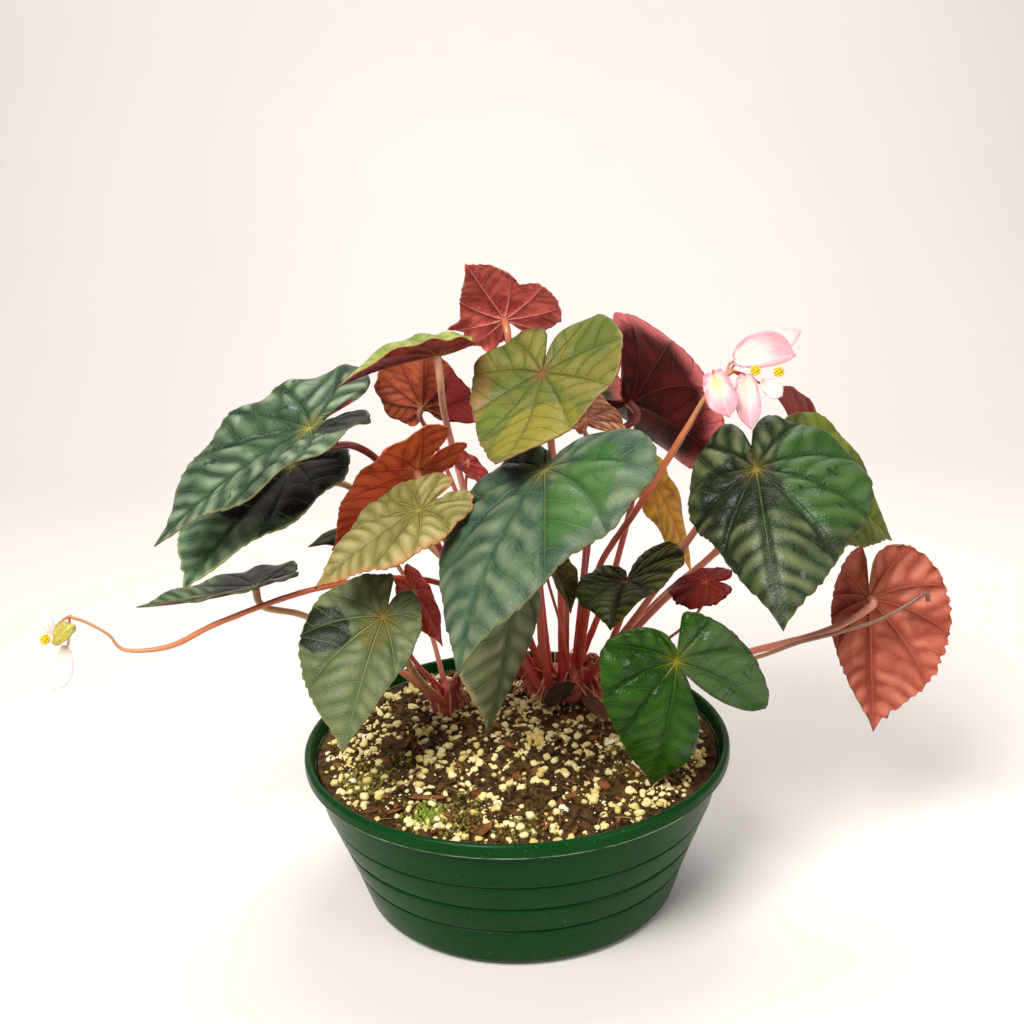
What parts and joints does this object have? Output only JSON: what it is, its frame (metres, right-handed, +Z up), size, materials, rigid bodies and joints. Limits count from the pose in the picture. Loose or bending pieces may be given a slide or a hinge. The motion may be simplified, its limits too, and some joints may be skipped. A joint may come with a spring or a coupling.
{
  "type": "potted begonia",
  "caption": "Leafy begonia in a round ribbed plastic pot of perlite mix, with heart-shaped green and red leaves on long stalks and small pink blooms.",
  "frame": {"origin": "centre of the pot's flat underside", "axes": "+Z up, -Y the front of the plant, +X to its right"},
  "size_m": [0.4218, 0.2057, 0.301],
  "materials": {
    "pot_plastic": "dark green moulded plastic, dusty",
    "potting_mix": "dark potting mix with pale perlite and bark",
    "stalk_red": "red-brown stalks and papery scales",
    "stalk_tan": "brownish pink stalks",
    "leaf_green": "deep green blade, waxy, quilted between the veins",
    "leaf_red_underside": "blade seen from its red underside",
    "leaf_maroon_underside": "blade with dark maroon underside",
    "leaf_rust_underside": "blade with rust-orange underside",
    "leaf_pink_underside": "blade with pink-red quilted underside",
    "leaf_amber": "amber-brown ageing blade",
    "leaf_lime": "yellow-green young blade",
    "leaf_grey_green": "grey-green blade with pale veins",
    "leaf_dark": "very dark green-brown small blade",
    "petal": "thin pink and white petal",
    "dead_blade": "dry brown shrivelled blade",
    "ovary": "yellow-green winged seed case",
    "stamen": "yellow stamens"
  },
  "bodies": {
    "root": {"pot": "pot_plastic", "soil": "potting_mix", "crown_main": "stalk_red", "crown_left": "stalk_tan", "leaf_top_red": "leaf_red_underside", "leaf_top_lime": "leaf_lime", "leaf_maroon_back": "leaf_maroon_underside", "leaf_level_left": "leaf_green", "leaf_far_left_upper": "leaf_green", "leaf_far_left_lower": "leaf_green", "leaf_low_left": "leaf_green", "leaf_round_rust": "leaf_rust_underside", "leaf_rust_left": "leaf_rust_underside", "leaf_young_left": "leaf_red_underside", "leaf_pale_left": "leaf_lime", "leaf_grey_front_left": "leaf_grey_green", "leaf_young_low": "leaf_red_underside", "leaf_big_centre": "leaf_green", "leaf_grey_hanging": "leaf_grey_green", "leaf_dark_small": "leaf_dark", "leaf_dark_young": "leaf_dark", "leaf_lobed_front": "leaf_green", "leaf_big_right": "leaf_green", "leaf_behind_right": "leaf_green", "leaf_young_behind_right": "leaf_red_underside", "leaf_pink_far_right": "leaf_pink_underside", "leaf_young_toothed": "leaf_red_underside", "leaf_amber_back": "leaf_amber", "leaf_orange_back": "leaf_amber", "leaf_dark_tip_left": "leaf_dark", "bloom_right_tepal_top": "petal", "bloom_right_tepal_back": "petal", "bloom_right_tepal_low": "petal", "bloom_right_tepal_left": "petal", "bloom_right_tepal_mid": "petal", "bloom_left_tepal_up": "petal", "bloom_left_tepal_low": "petal", "dead_leaf": "dead_blade", "dead_strap": "dead_blade", "bloom_left_ovary": "ovary", "bloom_right_stamens_near": "stamen", "bloom_right_stamens_far": "stamen", "bloom_left_stamens": "stamen"}
  },
  "joints": []
}
